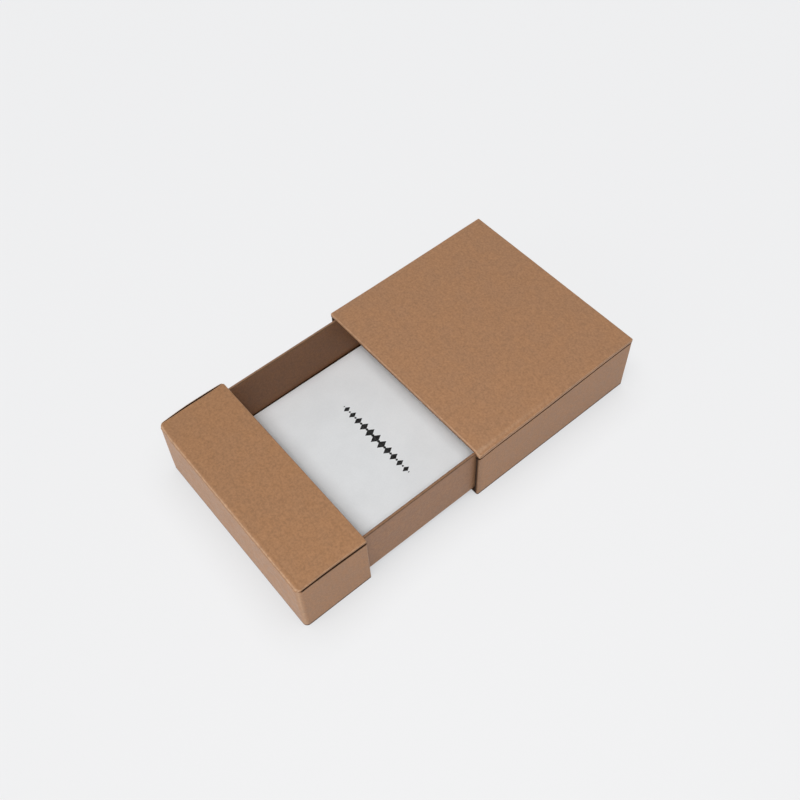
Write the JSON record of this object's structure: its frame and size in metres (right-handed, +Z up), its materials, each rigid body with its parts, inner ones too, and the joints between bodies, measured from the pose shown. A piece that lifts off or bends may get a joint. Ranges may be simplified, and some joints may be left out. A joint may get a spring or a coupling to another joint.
{
  "type": "sliding drawer gift box",
  "caption": "Rigid kraft-papered gift box: an open-mouthed sleeve, and a drawer whose block head closes flush with it.",
  "frame": {"origin": "centre of the sleeve's underside, on the surface that the box stands on", "axes": "+X across the box, +Y from the mouth of the sleeve to its closed back, +Z up; the drawer pulls out towards -Y"},
  "size_m": [0.1, 0.183, 0.0332],
  "materials": {
    "cover_paper": "matte brown kraft paper with fine fibre speckle",
    "tray_paper": "matte brown kraft paper",
    "lining_paper": "matte brown kraft paper, inside",
    "greyboard": "grey recycled board",
    "white_card": "uncoated white card"
  },
  "bodies": {
    "sleeve": {"sleeve_bottom_board": "greyboard", "sleeve_left_board": "greyboard", "sleeve_right_board": "greyboard", "sleeve_back_board": "greyboard", "sleeve_top_board": "greyboard", "sleeve_base_paper": "cover_paper", "sleeve_body_paper": "cover_paper", "sleeve_top_paper": "cover_paper", "sleeve_lining": "lining_paper"},
    "drawer": {"head_bottom_board": "greyboard", "head_left_board": "greyboard", "head_right_board": "greyboard", "head_front_board": "greyboard", "head_rear_board": "greyboard", "head_top_board": "greyboard", "head_base_paper": "cover_paper", "head_body_paper": "cover_paper", "head_top_paper": "cover_paper", "tray_floor_board": "greyboard", "tray_left_board": "greyboard", "tray_right_board": "greyboard", "tray_back_board": "greyboard", "tray_outer_paper": "tray_paper", "tray_lining": "lining_paper", "insert_card": "white_card"}
  },
  "joints": [
    {"name": "drawer_slide", "type": "slide", "parent": "sleeve", "child": "drawer", "axis": [0, -1, 0], "range_m": [-0.0582, 0.0294]}
  ]
}
